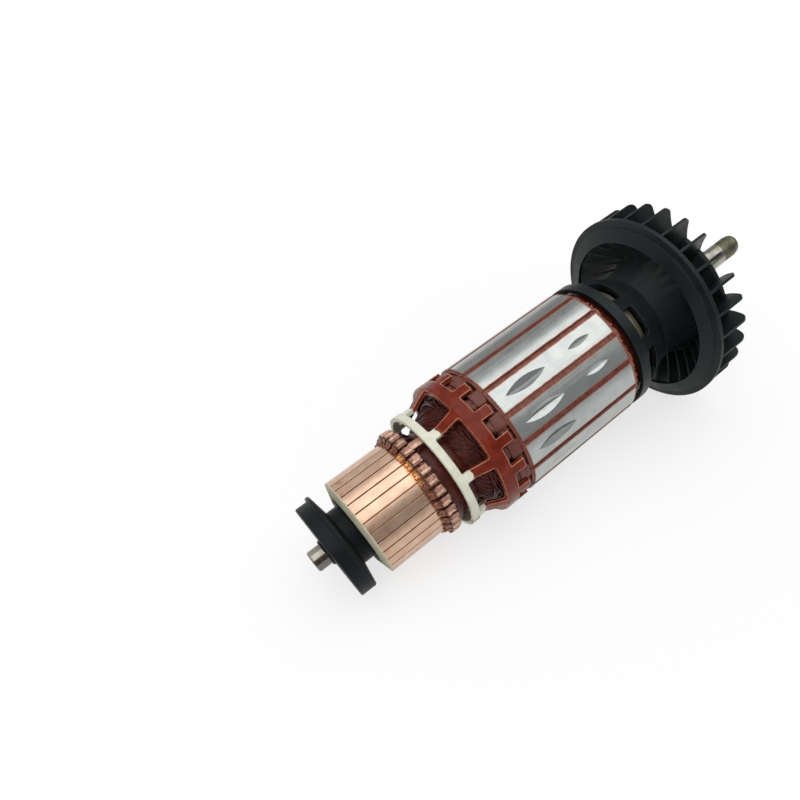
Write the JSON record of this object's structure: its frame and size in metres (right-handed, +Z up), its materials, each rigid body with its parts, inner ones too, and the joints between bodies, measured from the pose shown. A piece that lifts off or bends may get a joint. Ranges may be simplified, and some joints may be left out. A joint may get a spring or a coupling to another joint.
{
  "type": "motor armature",
  "caption": "Wound motor armature: shaft with commutator, slotted laminated core, varnished windings in a cage and a shrouded plastic fan.",
  "frame": {"origin": "middle of the footprint, on the table that the fan ring and the seal disc lie on", "axes": "+X from the commutator end to the drive end, +Z up; the shaft rises 8.2 degrees towards the drive end"},
  "size_m": [0.2196, 0.0808, 0.0822],
  "materials": {
    "shaft_steel": "ground",
    "bush_steel": "turned",
    "core_steel": "ground",
    "bar_copper": "turned",
    "seal_plastic": "satin",
    "fan_plastic": "satin",
    "base_moulding": "matt",
    "cage_plastic": "matt, partly varnished",
    "red_insulation": "varnished",
    "winding_varnish": "varnished"
  },
  "bodies": {
    "root": {"armature_shaft": "shaft_steel", "commutator_bar_01": "bar_copper", "commutator_bar_02": "bar_copper", "commutator_bar_03": "bar_copper", "commutator_bar_04": "bar_copper", "commutator_bar_05": "bar_copper", "commutator_bar_06": "bar_copper", "commutator_bar_07": "bar_copper", "commutator_bar_08": "bar_copper", "commutator_bar_09": "bar_copper", "commutator_bar_10": "bar_copper", "commutator_bar_11": "bar_copper", "commutator_bar_12": "bar_copper", "commutator_bar_13": "bar_copper", "commutator_bar_14": "bar_copper", "commutator_bar_15": "bar_copper", "commutator_bar_16": "bar_copper", "commutator_bar_17": "bar_copper", "commutator_bar_18": "bar_copper", "commutator_bar_19": "bar_copper", "commutator_bar_20": "bar_copper", "commutator_bar_21": "bar_copper", "commutator_bar_22": "bar_copper", "commutator_bar_23": "bar_copper", "commutator_bar_24": "bar_copper", "commutator_bar_25": "bar_copper", "commutator_bar_26": "bar_copper", "commutator_bar_27": "bar_copper", "commutator_bar_28": "bar_copper", "commutator_bar_29": "bar_copper", "commutator_bar_30": "bar_copper", "commutator_base": "base_moulding", "cooling_fan": "fan_plastic", "core_stack": "core_steel", "end_sheet_commutator": "red_insulation", "end_sheet_drive": "red_insulation", "fan_bush": "bush_steel", "seal_disc": "seal_plastic", "shaft_sleeve": "red_insulation", "slot_liner_01": "red_insulation", "slot_liner_02": "red_insulation", "slot_liner_03": "red_insulation", "slot_liner_04": "red_insulation", "slot_liner_05": "red_insulation", "slot_liner_06": "red_insulation", "slot_liner_07": "red_insulation", "slot_liner_08": "red_insulation", "slot_liner_09": "red_insulation", "slot_liner_10": "red_insulation", "slot_liner_11": "red_insulation", "slot_liner_12": "red_insulation", "slot_liner_13": "red_insulation", "slot_liner_14": "red_insulation", "slot_liner_15": "red_insulation", "slot_windings": "winding_varnish", "winding_cage": "cage_plastic", "winding_head_commutator": "winding_varnish", "winding_head_drive": "winding_varnish"}
  },
  "joints": []
}
